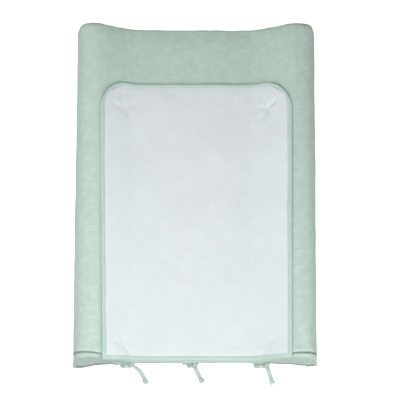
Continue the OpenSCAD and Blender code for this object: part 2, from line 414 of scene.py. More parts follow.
END_PANELS = ["cover_head", "cover_foot_flap"]
PANELS = ["cover_top", "cover_side_left", "cover_side_right"] + END_PANELS


def cover_grids():
    """Each panel as a grid: its points, and for each point its s and its drop."""
    across = graded(-SEAM_S, SEAM_S, 2.5 * MM, 5.6 * MM)
    along = graded(FOOT_Y, HEAD_Y, 2.0 * MM, 6.0 * MM)
    down = graded(0, 1, 0.035, 0.085, 4)
    side_s = SEAM_S + (LOW_S - SEAM_S) * down

    def strip(s, drop):
        x, z = lay(s)
        y, x = np.meshgrid(along, x, indexing="ij")
        return np.stack((x, y, np.tile(z, (len(along), 1))), -1), np.tile(s, (len(along), 1)), drop

    def cap(y):
        """An end panel: columns go straight down from the top panel's edge."""
        x, z = lay(across)
        spread_from = outline_run(EAR_X)
        beyond = np.clip((np.abs(across) - spread_from) / (SEAM_S - spread_from), 0, 1)
        low_x = np.where(beyond > 0, np.sign(across) * (EAR_X + beyond * (HALF_W - EAR_X)), x)
        share = down[:, None]
        points = np.stack((
            (1 - share) * x + share * low_x,
            np.full((len(down), len(across)), y),
            (1 - share) * z + share * BOTTOM_R,
        ), -1)
        for column, sign in ((0, -1), (-1, 1)):
            side_x, side_z = lay(sign * side_s)
            points[:, column, 0] = side_x
            points[:, column, 2] = side_z
        return points, np.tile(across, (len(down), 1)), np.tile(share, (1, len(across)))

    fall = np.tile(down, (len(along), 1))
    return {
        "cover_head": cap(HEAD_Y),
        "cover_foot_flap": cap(FOOT_Y),
        "cover_side_left": strip(-side_s, fall),
        "cover_side_right": strip(side_s, fall),
        "cover_top": strip(across, np.zeros((len(along), len(across)))),
    }


def weld(grids):
    """One set of points for all grids, with each grid as an array of point numbers."""
    points = np.concatenate([g[0].reshape(-1, 3) for g in grids.values()])
    s = np.concatenate([g[1].ravel() for g in grids.values()])
    drop = np.concatenate([g[2].ravel() for g in grids.values()])
    places = np.round(points, 7)
    _, first, numbers = np.unique(places, axis=0, return_index=True, return_inverse=True)
    numbers = numbers.ravel()
    index = {}
    start = 0
    for name, g in grids.items():
        size = g[1].size
        index[name] = numbers[start:start + size].reshape(g[1].shape)
        start += size
    return points[first], s[first], drop[first], index


def panel_faces(index):
    """The quads of all panels, facing out, and the number of each quad's panel."""
    faces = []
    owners = []
    for number, name in enumerate(PANELS):
        quads = grid_faces(index[name])
        if name in ("cover_side_left", "cover_foot_flap"):
            quads = quads[:, ::-1]
        faces.append(quads)
        owners.append(np.full(len(quads), number))
    return np.concatenate(faces), np.concatenate(owners)


def relax(points, faces, weights, rounds):
    """Moves points towards the middle of their neighbours."""
    pairs = np.concatenate([faces[:, [i, (i + 1) % 4]] for i in range(4)])
    count = np.bincount(pairs.ravel(), minlength=len(points))
    for _ in range(rounds):
        total = np.zeros_like(points)
        np.add.at(total, pairs[:, 0], points[pairs[:, 1]])
        np.add.at(total, pairs[:, 1], points[pairs[:, 0]])
        points = points + weights[:, None] * (total / count[:, None] - points) * 0.5
    return points


def snap_distance(s, y):
    """Distance to the nearest snap, along the cover, and the angle round it."""
    best = np.full(np.shape(s), 1.0)
    angle = np.zeros(np.shape(s))
    for snap_y in SNAP_YS:
        for snap_s in (-SNAP_S, SNAP_S):
            distance = np.hypot(s - snap_s, y - snap_y)
            angle = np.where(distance < best, np.arctan2(y - snap_y, s - snap_s), angle)
            best = np.minimum(best, distance)
    return best, angle


def cover_cloth_coordinates(s, y, z):
    """(u, v) along the fabric; the end panels go on from the top panel's ends."""
    fall = on_outline(np.abs(s))[1] - z
    v = np.where(y < FOOT_Y + 1e-6, FOOT_Y - fall, y)
    v = np.where(y > HEAD_Y - 1e-6, HEAD_Y + fall, v)
    return np.column_stack((s, v))


def distances_to_edges(points, index):
    """How far each point is from the end panels' seams and from the seams along the walls."""
    ends = [index[name][0] for name in END_PANELS]
    ends += [index[name][:, column] for name in END_PANELS for column in (0, -1)]
    seams = [index["cover_top"][:, column] for column in (0, -1)]
    return [nearest(points, points[np.unique(np.concatenate(edge))]) for edge in (ends, seams)]


def cover_relief(points, s, x, y, drop, foot, to_end, to_seam):
    """How far lumps and puckers stand out, and how deep seams and creases go in."""
    lumps = 0.45 * MM * waves(points, 45 * MM, 3) + 0.22 * MM * waves(points, 16 * MM, 4)
    ripple = np.sin(s / (5.2 * MM) + 2.4 * waves(points, 30 * MM, 5))
    puckers = 0.45 * MM * ripple * np.exp(-to_end / (11 * MM)) * step(to_end, 0, 3 * MM)
    side_ripple = np.sin(y / (6 * MM) + 2.4 * waves(points, 36 * MM, 6))
    puckers += 0.4 * MM * side_ripple * np.exp(-to_seam / (10 * MM)) * step(to_seam, 0, 3 * MM)
    groove = SEAM_GROOVE * (bell(to_end, 1.8 * MM) + 0.8 * bell(to_seam, 1.8 * MM))

    wall = foot * step(np.abs(x), 170 * MM, 190 * MM) * (1 - step(drop, 0.3, 0.5))
    wall = wall * step(SEAM_S - np.abs(s), 8 * MM, 30 * MM)
    groove += CREASE_DEPTH * bell(to_end, 2.8 * MM) * wall
    lumps += CREASE_LIP * bell(to_end - 9 * MM, 5 * MM) * wall
    crease = bell(np.abs(s) - CREASE_S, 2.5 * MM) * step(-y, -190 * MM, -150 * MM)
    groove += 0.7 * MM * crease * (0.7 + 0.5 * waves(points, 60 * MM, 7))
    lumps = lumps + foot_wrinkles(x, drop) * foot
    return lumps + puckers, groove


def cover_surface():
    """The filled cover: points, faces, panel numbers, cloth coordinates and grids."""
    points, s, drop, index = weld(cover_grids())
    faces, owners = panel_faces(index)
    x, y, z = points.T
    cloth = cover_cloth_coordinates(s, y, z)
    snap_r = snap_distance(s, y)[0]
    low = z < BOTTOM_R + 1e-6

    outer = step(np.abs(x), 235 * MM, HALF_W)
    x = x + np.sign(x) * EAR_OUT * outer * drop**2 * bell(y - FOOT_Y, 18 * MM)
    y = y + foot_shift(x, drop) * bell(y - FOOT_Y, EAR_REACH) + HEAD_FULL * bell(y - HEAD_Y, 20 * MM)
    x, y = round_corners(x, y, HALF_W, HEAD_Y, HEAD_CORNER_R)
    points = np.column_stack((flare(x, y), y, z))

    foot = y < FOOT_Y + 40 * MM
    to_end, to_seam = distances_to_edges(points, index)
    softness = np.where(low, 0, bell(to_end, 8 * MM)) * np.where(foot, 0.5, 1)
    points = relax(points, faces, softness, 14)

    relief, groove = cover_relief(points, s, x, y, drop, foot, to_end, to_seam)
    dimple = SNAP_DIMPLE * (1 - step(snap_r, 6.5 * MM, 11 * MM))
    push = relief * np.where(low, 0, 1) * step(snap_r, 8 * MM, 14 * MM) - groove - dimple
    points = points + vertex_normals(points, faces) * push[:, None]
    points = settle(points, faces, cloth, index)
    return points, faces, owners, cloth, index


def settle(points, faces, cloth, index):
    """Lets the cover's fabric swell between its seams by cloth simulation, a little and evenly."""
    piece = new_piece("settling", points, faces)
    top = index["cover_top"]
    seams = [top[:, 0], top[:, -1], top[0], top[-1]]
    for name in END_PANELS:
        seams += [index[name][:, 0], index[name][:, -1], index[name][-1]]
    seams += [index["cover_side_left"][:, -1], index["cover_side_right"][:, -1]]
    group = piece.vertex_groups.new(name="seams")
    group.add(np.unique(np.concatenate(seams)).tolist(), 1, "REPLACE")
    modifier = piece.modifiers.new("fabric", "CLOTH")
    modifier.settings.vertex_group_mass = "seams"
    modifier.settings.use_pressure = True
    modifier.settings.uniform_pressure_force = SWELL_PRESSURE
    modifier.settings.effector_weights.gravity = 0
    modifier.settings.quality = 6
    modifier.point_cache.frame_end = SWELL_FRAMES
    for number in range(1, SWELL_FRAMES + 1):
        bpy.context.scene.frame_set(number)
    moved = evaluated_mesh(piece)[1] - points
    bpy.context.scene.frame_set(1)
    bpy.data.objects.remove(piece)
    length = np.maximum(np.linalg.norm(moved, axis=1), 1e-9)
    free = step(np.abs(cloth[:, 0]), TOWEL_S, TOWEL_S + 15 * MM)
    free += step(points[:, 1], TOWEL_HEAD_Y, TOWEL_HEAD_Y + 15 * MM)
    free = np.clip(free + (points[:, 1] < FOOT_Y + 5 * MM), 0, 1)
    limit = SWELL_UNDER_TOWEL + (SWELL - SWELL_UNDER_TOWEL) * free
    return points + moved * (limit * np.tanh(length / limit) / length)[:, None]


def split_cover(surface, material):
    """Refines the cover once and cuts it into its panels."""
    points, faces, owners, cloth, _ = surface
    whole = new_piece("whole", points, faces, cloth)
    for _ in PANELS:
        whole.data.materials.append(None)
    whole.data.polygons.foreach_set("material_index", owners.astype(np.int32))
    refine(whole).boundary_smooth = "PRESERVE_CORNERS"
    mesh, fine = evaluated_mesh(whole)
    quads = read(mesh.loops, "vertex_index", kind=np.int32).reshape(-1, 4)
    panel = read(mesh.polygons, "material_index", kind=np.int32)
    flat_cloth = np.zeros((len(fine), 2))
    flat_cloth[quads.ravel()] = read(mesh.uv_layers[0].data, "uv", 2)
    for number, name in enumerate(PANELS):
        used, local = np.unique(quads[panel == number], return_inverse=True)
        piece = new_piece(name + "_cloth", fine[used], local.reshape(-1, 4), flat_cloth[used])
        finish_padded(piece, 1.4 * MM, material, name)
    bpy.data.objects.remove(whole)


def tray(depth, foot_y, head_y, ears):
    """The underside at a depth inside the cover: flat, with its edges turned up."""
    half = HALF_W - BOTTOM_R
    radius = BOTTOM_R - depth
    curl = np.linspace(0, radius * math.pi / 2, 5)
    foot = foot_y + radius
    head = head_y - radius
    columns = np.concatenate((-half - curl[::-1], np.linspace(-half, half, 29)[1:-1], half + curl))
    rows = np.concatenate((foot - curl[::-1], np.linspace(foot, head, 61)[1:-1], head + curl))
    row, column = np.meshgrid(rows, columns, indexing="ij")
    over_x = column - np.clip(column, -half, half)
    over_y = row - np.clip(row, foot, head)
    over = np.hypot(over_x, over_y)
    bend = np.minimum(over, curl[-1]) / radius
    reach = radius * np.sin(bend) / np.maximum(over, 1e-9)
    x = np.clip(column, -half, half) + over_x * reach
    y = np.clip(row, foot, head) + over_y * reach
    z = depth + radius * (1 - np.cos(bend))
    if ears:
        y = y + (foot_shift(x, np.ones_like(x)) + MM) * bell(y - FOOT_Y, EAR_REACH)
    x, y = round_corners(x, y, HALF_W, HEAD_Y, HEAD_CORNER_R)
    swells = np.maximum(1 + waves(np.stack((x, y), -1), 30 * MM, 8), 0)
    z = z + 0.3 * MM * swells * (bend < 0.1)
    points = np.stack((flare(x, y), y, z), -1).reshape(-1, 3)
    index = np.arange(len(points)).reshape(x.shape)
    return points, grid_faces(index)[:, ::-1], np.stack((column, row), -1).reshape(-1, 2)


def base_panel(material):
    """The cover's underside, turned up to the side and end panels."""
    piece = new_piece("cover_base_cloth", *tray(0, FOOT_Y, HEAD_Y, True))
    finish_padded(piece, 1.2 * MM, material, "cover_base")


def band(name, columns, width, rise, material, node):
    """A hem: a folded band that wraps the lower edge of a flap, given as columns of points."""
    normals = unit(np.cross(np.gradient(columns, axis=0), np.gradient(columns, axis=1)))
    fold = np.concatenate((np.linspace(0, 1, 9), np.linspace(1, 0, 9))) * width
    heights = rise * np.array([0.2, 0.8, 1, 1, 1, 1, 0.95, 0.6, 0.3])
    heights = np.concatenate((heights, -heights[::-1]))
    rings = []
    for column, normal in zip(columns, normals):
        run = path_run(column)
        rings.append(at_run(fold, run, column) + at_run(fold, run, normal) * heights[:, None])
    index = tube_index(len(rings), len(fold))
    faces = grid_faces(index).tolist() + [index[0, :-1].tolist(), index[-1, :-1][::-1].tolist()]
    u, v = np.meshgrid(path_run(columns[:, 0]), fold, indexing="ij")
    piece = new_piece(name, np.concatenate(rings), faces, np.stack((u, v), -1).reshape(-1, 2))
    finish_piece(piece, material, "pad", [node])


def foot_hem(surface, material):
    """The hem along the foot flap's lower edge, coloured a dark green that is painted shade."""
    points, _, _, _, index = surface
    columns = points[index["cover_foot_flap"]][::-1].transpose(1, 0, 2)
    band("foot_hem_band", columns[3:-3], 13 * MM, 1.1 * MM, material, "hem_foot_flap")


def tuck_flap(material, hem_material):
    """The flap behind the foot flap, with its own hem."""
    low, high = TUCK
    x = np.linspace(low.x, high.x, 90)
    z = np.linspace(low.z + 1 * MM, high.z, 14)
    column, level = np.meshgrid(x, z, indexing="ij")
    place = np.stack((column, level), -1)
    y = (low.y + high.y) / 2 + 0.5 * MM * waves(place, 28 * MM, 11) * step(level, 0, 20 * MM)
    points = np.stack((column, y, level), -1)
    index = np.arange(column.size).reshape(column.shape)
    piece = new_piece("tuck_flap_cloth", points.reshape(-1, 3), grid_faces(index), place.reshape(-1, 2))
    finish_padded(piece, 1.2 * MM, material, "cover_tuck_flap")
    band("tuck_hem_band", points[:, ::-1], 12 * MM, 0.9 * MM, hem_material, "hem_tuck_flap")


# ---- The core ----

LINER_D = 1.9 * MM
FOAM_D = 3 * MM
CORE_FOOT_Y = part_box("liner_upper")[0].y
FOAM_Y = (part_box("foam_slab")[0].y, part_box("foam_slab")[1].y - 5 * MM)
SLAB_HALF_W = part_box("foam_slab")[1].x


def liner_films(surface, material):
    """The wipe-clean liner: one film under the cover's top and sides, and one below."""
    points, faces, _, cloth, _ = surface
    snap_r = snap_distance(cloth[:, 0], points[:, 1])[0]
    depth = LINER_D + 3 * MM * bell(snap_r, 14 * MM)
    points = points - vertex_normals(points, faces) * depth[:, None]
    squeeze_y = CORE_FOOT_Y + 15 * MM
    lowest = points[:, 1].min()
    past = np.minimum(points[:, 1] - squeeze_y, 0)
    past = past * (squeeze_y - CORE_FOOT_Y) / (squeeze_y - lowest)
    points[:, 1] = np.maximum(points[:, 1], squeeze_y) + past
    upper = new_piece("liner_upper_film", points, faces, cloth)
    lower = new_piece("liner_lower_film", *tray(LINER_D, CORE_FOOT_Y, HEAD_Y - LINER_D, False))
    for piece, node in ((upper, "liner_upper"), (lower, "liner_lower")):
        finish_padded(piece, 0.5 * MM, material, node)


def foam_block(node, start_s, end_s, material):
    """One block of the foam core, under a stretch of the cover's outline."""
    along = graded(*FOAM_Y, 2 * MM, 7 * MM)
    across = np.linspace(start_s, end_s, max(int(abs(end_s - start_s) / (7 * MM)), 2))
    y, s = np.meshgrid(along, across, indexing="ij")
    snap_r = snap_distance(s, y)[0]
    end = np.minimum(y - FOAM_Y[0], FOAM_Y[1] - y)
    depth = FOAM_D + 4 * MM * (1 - step(snap_r, 8 * MM, 17 * MM)) + 2 * MM * (1 - step(end, 0, 5 * MM))
    x, z = lay(s, -depth)
    x = np.column_stack((x, x[:, -1], x[:, 0]))
    z = np.column_stack((z, np.full((len(along), 2), FOAM_D)))
    y = np.column_stack((y, y[:, 0], y[:, 0]))
    x, y = round_corners(x, y, HALF_W, HEAD_Y, HEAD_CORNER_R)
    index = tube_index(*x.shape)
    faces = grid_faces(index)
    caps = [index[0, :-1], index[-1, :-1][::-1]]
    if end_s < start_s:
        faces = faces[:, ::-1]
        caps = [cap[::-1] for cap in caps]
    faces = faces.tolist() + [cap.tolist() for cap in caps]
    points = np.stack((flare(x, y), y, z), -1).reshape(-1, 3)
    piece = new_piece(node + "_block", points, faces, points[:, :2])
    modifier = piece.modifiers.new("edges", "EDGE_SPLIT")
    modifier.split_angle = math.radians(50)
    finish_piece(piece, material, "pad", [node])


def make_core(surface):
    slab_s = outline_run(SLAB_HALF_W)
    foam = foam_finish()
    foam_block("foam_slab", -slab_s, slab_s, foam)
    foam_block("foam_bolster_right", slab_s, LOW_S, foam)
    foam_block("foam_bolster_left", -slab_s, -LOW_S, foam)
    liner_films(surface, liner_finish())


# ---- The towel ----


def towel_ripple(s, y):
    """Slow unevenness of the towel, away from its snaps."""
    place = np.stack((s, y), -1)
    return 0.7 * MM * waves(place, 60 * MM, 21) + 0.35 * MM * waves(place, 22 * MM, 22)


def place_towel(s, y, height):
    """A point of the towel in the frame; s and y are along the towel laid straight."""
    foot_share = (TOWEL_HEAD_Y - y) / (TOWEL_HEAD_Y - TOWEL_FOOT_Y)
    draw_in = np.where(s < 0, 12 * MM, 3 * MM) * foot_share - 1.5 * MM * (s > 0)
    s_lying = s * (1 - draw_in / TOWEL_S)
    corner = step(np.abs(s), TOWEL_S - 75 * MM, TOWEL_S)
    reach = np.where(s < 0, 7 * MM, 4 * MM) * corner * bell(y - TOWEL_FOOT_Y, 60 * MM)
    y_lying = y - 2 * MM * foot_share**8 - reach
    snap_r, snap_angle = snap_distance(s_lying, y_lying)
    loose = step(height, 0.6 * MM, 4 * MM)
    ripple = (towel_ripple(s, y) + 0.6 * MM) * step(snap_r, 8 * MM, 30 * MM) * loose
    pinch = 2.4 * MM * bell(snap_r, 9 * MM) * loose
    star = np.cos(5 * snap_angle + 0.7) * bell(snap_r - 17 * MM, 9 * MM) * 1.3 * MM * loose
    x, z = lay(s_lying, height + ripple - pinch + star)
    over = np.maximum(FOOT_Y + 14 * MM - y_lying, 0)
    return np.stack((flare(x, y_lying), y_lying, z - 16 * over**2), -1)


def towel_layer(name, low, high, inset, material, slot, node):
    """One layer of the towel: a closed sheet between two heights."""
    across = graded(-TOWEL_S + inset, TOWEL_S - inset, 2.5 * MM, 4.6 * MM, 4)
    along = graded(TOWEL_FOOT_Y + inset, TOWEL_HEAD_Y - inset, 2.5 * MM, 4.8 * MM, 4)
    y, s = np.meshgrid(along, across, indexing="ij")
    s = s * TOWEL_S / (TOWEL_S - inset)
    s, y = round_corners(s, y, TOWEL_S, TOWEL_HEAD_Y, TOWEL_CORNER_R)
    s = s * (1 - inset / TOWEL_S)
    index = np.arange(s.size).reshape(s.shape)
    upside = grid_faces(index)
    edge = np.concatenate((index[0, :-1], index[:-1, -1], index[-1, :0:-1], index[:0:-1, 0]))
    to_edge = np.minimum(TOWEL_S - inset - np.abs(s), np.minimum(y - along[0], along[-1] - y))
    plump = low + (high - low) * (0.72 + 0.28 * step(to_edge, 0, 10 * MM))
    upper = place_towel(s, y, plump).reshape(-1, 3)
    lower = place_towel(s, y, np.full(s.shape, low)).reshape(-1, 3)
    sides = np.column_stack((edge, np.roll(edge, -1), np.roll(edge, -1) + s.size, edge + s.size))
    faces = np.concatenate((upside, upside[:, ::-1] + s.size, sides[:, ::-1]))
    cloth = np.stack((s, y), -1).reshape(-1, 2)
    piece = new_piece(name, np.concatenate((upper, lower)), faces, np.concatenate((cloth, cloth)))
    finish_piece(piece, material, "towel", [node])
    return piece


def towel_rim():
    """The towel's edge: points and inward directions in (s, y), once round."""
    far = TOWEL_S - TOWEL_CORNER_R
    top = TOWEL_HEAD_Y - TOWEL_CORNER_R
    rim = []
    for y in np.linspace(TOWEL_FOOT_Y, top, 110)[1:]:
        rim.append((TOWEL_S, y, -1, 0))
    for angle in np.linspace(0, math.pi / 2, 26)[1:]:
        rim.append((
            far + TOWEL_CORNER_R * math.cos(angle), top + TOWEL_CORNER_R * math.sin(angle),
            -math.cos(angle), -math.sin(angle),
        ))
    for s in np.linspace(far, 0, 40)[1:]:
        rim.append((s, TOWEL_HEAD_Y, 0, -1))
    mirrored = [(-s, y, -in_s, in_y) for s, y, in_s, in_y in rim[-2::-1]]
    foot = [(s, TOWEL_FOOT_Y, 0, 1) for s in np.linspace(-TOWEL_S, TOWEL_S, 90)[1:-1]]
    left = (-TOWEL_S, TOWEL_FOOT_Y, 1, 1)
    right = (TOWEL_S, TOWEL_FOOT_Y, -1, 1)
    return np.array(rim + mirrored + [left] + foot + [right])


def rim_inset(rim, depth):
    """(s, y) of the rim's points, moved inwards."""
    return rim[:, 0] + depth * rim[:, 2], rim[:, 1] + depth * rim[:, 3]


def binding_band(material):
    """The bias binding: a flat folded band all round, with a sewn valley near its inner edge."""
    profile = np.array([
        (0.0, 3.0), (0.2, 4.4), (1.2, 5.6), (3.0, 6.1), (5.2, 6.1), (6.6, 5.7), (7.4, 5.0),
        (8.1, 5.5), (8.9, 5.2), (9.2, 4.2), (9.2, 1.2), (8.4, 0.5), (5.0, 0.4), (1.6, 0.5), (0.3, 1.6),
    ]) * MM
    rim = towel_rim()
    along = path_run(rim[:, :2])
    tuck = 0.25 * MM * waves(np.column_stack((along, along * 0)), 9 * MM, 31)
    rings = []
    cloth = []
    for depth, height in profile:
        rings.append(place_towel(*rim_inset(rim, depth), height + tuck * step(height, 4 * MM, 6 * MM)))
        cloth.append(np.column_stack((along, np.full(len(along), depth + height))))
    points = np.stack(rings, 1).reshape(-1, 3)
    index = tube_index(len(rim), len(profile), closed=True)
    piece = new_piece(
        "towel_binding_band", points, grid_faces(index), np.stack(cloth, 1).reshape(-1, 2)
    )
    refine(piece)
    finish_piece(piece, material, "towel", ["towel_binding"])
    return piece


def binding_stitches(material):
    """A row of small stitches in the binding's valley, each a bent capsule."""
    rim = towel_rim()
    rim = np.concatenate((rim, rim[:1]))
    s, y = rim_inset(rim, STITCH_INSET)
    path = place_towel(s, y, np.full(len(s), 5 * MM))
    above = place_towel(s, y, np.full(len(s), 6 * MM)) - path
    run = path_run(path)
    middles = np.arange(STITCH_PITCH, run[-1] - STITCH_PITCH, STITCH_PITCH)
    starts = at_run(middles - 0.5 * STITCH_L, run, path)
    ends = at_run(middles + 0.5 * STITCH_L, run, path)
    up = unit(at_run(middles, run, above))[:, None, None]
    along = (ends - starts)[:, None, None]
    side = unit(np.cross(up, along))
    centre = ((starts + ends) / 2)[:, None, None]
    stations = np.array([(-0.5, 0.35), (-0.3, 0.9), (0.0, 1.0), (0.3, 0.9), (0.5, 0.35)])
    offset, share = stations.T[:, :, None, None]
    angles = np.radians(np.arange(0, 360, 60))[:, None]
    arch = centre + along * offset + up * STITCH_R * (0.9 * share - 0.5)
    points = arch + STITCH_R * share * (side * np.cos(angles) + up * np.sin(angles))
    one = tube_index(len(stations), len(angles))
    capsule = grid_faces(one).tolist() + [one[0, :-1][::-1].tolist(), one[-1, :-1].tolist()]
    size = len(stations) * len(angles)
    faces = [[n + start for n in face] for start in range(0, len(middles) * size, size) for face in capsule]
    points = points.reshape(-1, 3)
    piece = new_piece("towel_topstitch", points, faces, np.zeros((len(points), 2)))
    finish_piece(piece, material, "towel")
    return piece


# ---- The ties ----


def spline(route, count):
    """A smooth curve through a route, with evenly spaced points."""
    knots = np.array(route, float) * MM
    padded = np.vstack((2 * knots[0] - knots[1], knots, 2 * knots[-1] - knots[-2]))
    t = np.linspace(0, 1, 12, endpoint=False)[:, None]
    parts = []
    for a, b, c, d in zip(padded, padded[1:], padded[2:], padded[3:]):
        square = 2 * a - 5 * b + 4 * c - d
        cube = 3 * b - a - 3 * c + d
        parts.append(0.5 * (2 * b + (c - a) * t + square * t**2 + cube * t**3))
    curve = np.vstack(parts + [knots[-1:]])
    run = path_run(curve)
    return at_run(np.linspace(0, run[-1], count), run, curve), run[-1]


def sweep(path, facing, half_w, half_t, closed=False):
    """A flat band with round edges along a path: points, faces and cloth coordinates.

    facing is the way that its flat side looks, for each point or for all.
    """
    angles = np.radians(np.arange(0, 360, 30))
    ring = np.column_stack((np.cos(angles), np.sin(angles)))
    ring = np.sign(ring) * np.abs(ring) ** 0.75
    tangents = np.gradient(path, axis=0)
    if closed:
        tangents = np.roll(path, -1, axis=0) - np.roll(path, 1, axis=0)
    side = unit(np.cross(tangents, facing))[:, None]
    up = unit(np.cross(side[:, 0], tangents))[:, None]
    points = path[:, None] + ring[:, :1] * half_w * side + ring[:, 1:] * half_t * up
    index = tube_index(len(path), len(ring), closed)
    faces = grid_faces(index)[:, ::-1].tolist()
    if not closed:
        faces += [index[0, :-1].tolist(), index[-1, :-1][::-1].tolist()]
    u, v = np.meshgrid(path_run(path), angles / math.pi * half_w, indexing="ij")
    return points.reshape(-1, 3), faces, np.stack((u, v), -1).reshape(-1, 2)


def together(parts):
    """Several sweeps as one mesh."""
    points, faces, cloth = zip(*parts)
    starts = np.cumsum([0] + [len(some) for some in points])
    joined = [[n + start for n in face] for start, some in zip(starts, faces) for face in some]
    return np.concatenate(points), joined, np.concatenate(cloth)


def tape(name, material, far_end):
    """A flat cotton tape along its route."""
    path, length = spline(ROUTES[name], 40)
    share = np.linspace(0, 1, len(path))[:, None]
    flat_end = np.array((0, 0, 1)) if far_end == "knot" else np.array((0.1, -0.55, 0.85))
    turned = step(share, 0.3, 0.6)
    facing = (1 - turned) * np.array((0.2, -1, 0.1)) + turned * flat_end
    facing = facing + 0.15 * np.sin(9 * share + len(name)) * np.array((0, 1, 0.4))
    points, faces, cloth = sweep(path, facing, 0.56 * TAPE_W, TAPE_T / 2)
    points[:, 2] = np.maximum(points[:, 2], 0.2 * MM)
    piece = new_piece(name + "_tape", points, faces, cloth)
    finish_piece(piece, material, "pad", [name])


def knot(name, radius, turn, loop, material):
    """A small overhand knot: a trefoil of tape pulled tight, and perhaps a loop beside it."""
    low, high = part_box(name)
    centre = np.array((low + high) / 2)
    t = np.linspace(0, 2 * math.pi, 96, endpoint=False)
    reach = 2 + np.cos(3 * t)
    path = np.column_stack((reach * np.cos(2 * t), reach * np.sin(2 * t), 1.3 * np.sin(3 * t))) / 3
    tilt = np.array(Matrix.Rotation(turn, 3, "X") @ Matrix.Rotation(0.6 * turn, 3, "Z"))
    path = path * radius * 0.68 @ tilt.T
    points, faces, cloth = sweep(path, unit(path), radius * 0.45, radius * 0.3, closed=True)
    if not loop:
        points[:, 2] = np.maximum(0.6 * points[:, 2], 0.2 * MM - centre[2])
    parts = [(points + centre, faces, cloth)]
    if loop:
        t = t[::2]
        swing = np.column_stack((
            -loop * (1 - np.cos(t)) / 2,
            -4 * MM * np.sin(t) - 4.5 * MM,
            3.5 * MM * np.sin(t) + 1.5 * MM,
        ))
        outward = np.column_stack((0.3 * np.cos(2 * t), np.sin(t) - 0.5, 1.2 - np.sin(t)))
        parts.append(sweep(centre + swing, outward, 3.8 * MM, 1.1 * MM, closed=True))
    piece = new_piece(name + "_knot", *together(parts))
    refine(piece)
    finish_piece(piece, material, "pad", [name])


def make_ties(material):
    """Three ties, each knotted at its own turn with a loop of its own length."""
    ties = (("left", 0.9, 19 * MM), ("middle", 1.7, 12 * MM), ("right", 2.6, 24 * MM))
    for side, turn, loop in ties:
        tape(f"tie_{side}_upper", material, "knot")
        tape(f"tie_{side}_lower", material, "bare")
        knot(f"tie_{side}_knot", 7 * MM, turn, loop, material)
        knot(f"tie_{side}_end", 6.8 * MM, turn + 1, 0, material)


# ---- Materials ----


class Finish:
    """A procedural material: its node tree, its shader and short ways to add nodes."""

    def __init__(self, name, color, roughness, sheen=0.0, coat=0.0):
        self.material = bpy.data.materials.new(name)
        self.material.use_nodes = True
        self.tree = self.material.node_tree
        self.shader = self.tree.nodes["Principled BSDF"]
        self.shader.inputs["Base Color"].default_value = (*color, 1)
        self.shader.inputs["Roughness"].default_value = roughness
        self.shader.inputs["Sheen Weight"].default_value = sheen
        self.shader.inputs["Coat Weight"].default_value = coat
        self.shader.inputs["Specular IOR Level"].default_value = 0.3
        self.color = color

    def add(self, kind, settings=None, **inputs):
        node = self.tree.nodes.new("ShaderNode" + kind)
        for key, value in (settings or {}).items():
            setattr(node, key, value)
        for key, value in inputs.items():
            self.join(value, node.inputs[key.replace("_", " ")])
        return node

    def join(self, value, socket):
        if isinstance(value, bpy.types.NodeSocket):
            self.tree.links.new(value, socket)
        else:
            socket.default_value = value

    def math(self, operation, first, second=0.0):
        node = self.add("Math", {"operation": operation})
        self.join(first, node.inputs[0])
        self.join(second, node.inputs[1])
        return node.outputs[0]

    def cloth_coordinates(self, scale=(1, 1, 1)):
        source = self.add("UVMap", {"uv_map": "cloth"}).outputs["UV"]
        return self.add("Mapping", Vector=source, Scale=scale).outputs["Vector"]

    def solid_coordinates(self):
        return self.add("TexCoord").outputs["Object"]

    def noise(self, vector, scale, detail):
        return self.add("TexNoise", Vector=vector, Scale=scale, Detail=detail).outputs["Fac"]

    def ramp(self, value, low, high):
        """0 below low and 1 above high."""
        node = self.add("MapRange", {"interpolation_type": "SMOOTHSTEP"}, Value=value)
        node.inputs["From Min"].default_value = low
        node.inputs["From Max"].default_value = high
        return node.outputs["Result"]

    def weave(self, vector, pitch):
        """Threads over and under each other, from 0 to 1."""
        split = self.add("SeparateXYZ", Vector=vector)
        turns = 2 * math.pi / pitch
        across = self.math("SINE", self.math("MULTIPLY", split.outputs["X"], turns))
        along = self.math("SINE", self.math("MULTIPLY", split.outputs["Y"], turns))
        product = self.math("MULTIPLY", across, along)
        return self.math("MULTIPLY_ADD", product, 0.5)

    def tint(self, factor, dark, light):
        """The base colour, times dark where factor is 0 and times light where it is 1."""
        node = self.add("Mix", {"data_type": "RGBA"})
        node.inputs[6].default_value = (*[c * dark for c in self.color], 1)
        node.inputs[7].default_value = (*[c * light for c in self.color], 1)
        self.join(factor, node.inputs[0])
        self.join(node.outputs[2], self.shader.inputs["Base Color"])

    def shade(self, factor, dark):
        """Paints shade: darkens the base colour where factor is 1."""
        node = self.add("Mix", {"data_type": "RGBA", "blend_type": "MULTIPLY"})
        node.inputs[7].default_value = (dark, dark, dark, 1)
        self.join(factor, node.inputs[0])
        self.join(self.shader.inputs["Base Color"].links[0].from_socket, node.inputs[6])
        self.join(node.outputs[2], self.shader.inputs["Base Color"])

    def foot_seam_painted_shade(self, cloth):
        """Where shade is painted into the crease: 1 along the cover's foot seam, outside the towel."""
        split = self.add("SeparateXYZ", Vector=cloth)
        across = self.math("ABSOLUTE", split.outputs["X"])
        along = self.math("ABSOLUTE", self.math("SUBTRACT", split.outputs["Y"], FOOT_Y))
        near = self.math("SUBTRACT", 1, self.ramp(along, 1 * MM, 4.5 * MM))
        return self.math("MULTIPLY", near, self.ramp(across, TOWEL_S - 20 * MM, TOWEL_S))

    def bump(self, height, distance, strength):
        node = self.add("Bump", Height=height, Distance=distance, Strength=strength)
        if self.shader.inputs["Normal"].links:
            self.join(self.shader.inputs["Normal"].links[0].from_socket, node.inputs["Normal"])
        self.join(node.outputs["Normal"], self.shader.inputs["Normal"])


COVER_GREEN = (0.555, 0.705, 0.620)
TAPE_GREEN = (0.56, 0.65, 0.61)
BASE_GREEN = (0.50, 0.62, 0.55)
# The hem's dark green is painted shade: it darkens the flap's lower edge where it curves under the towel's
# overhang.
HEM_PAINTED_SHADE_GREEN = (0.30, 0.38, 0.335)
BINDING_GREEN = (0.56, 0.715, 0.65)


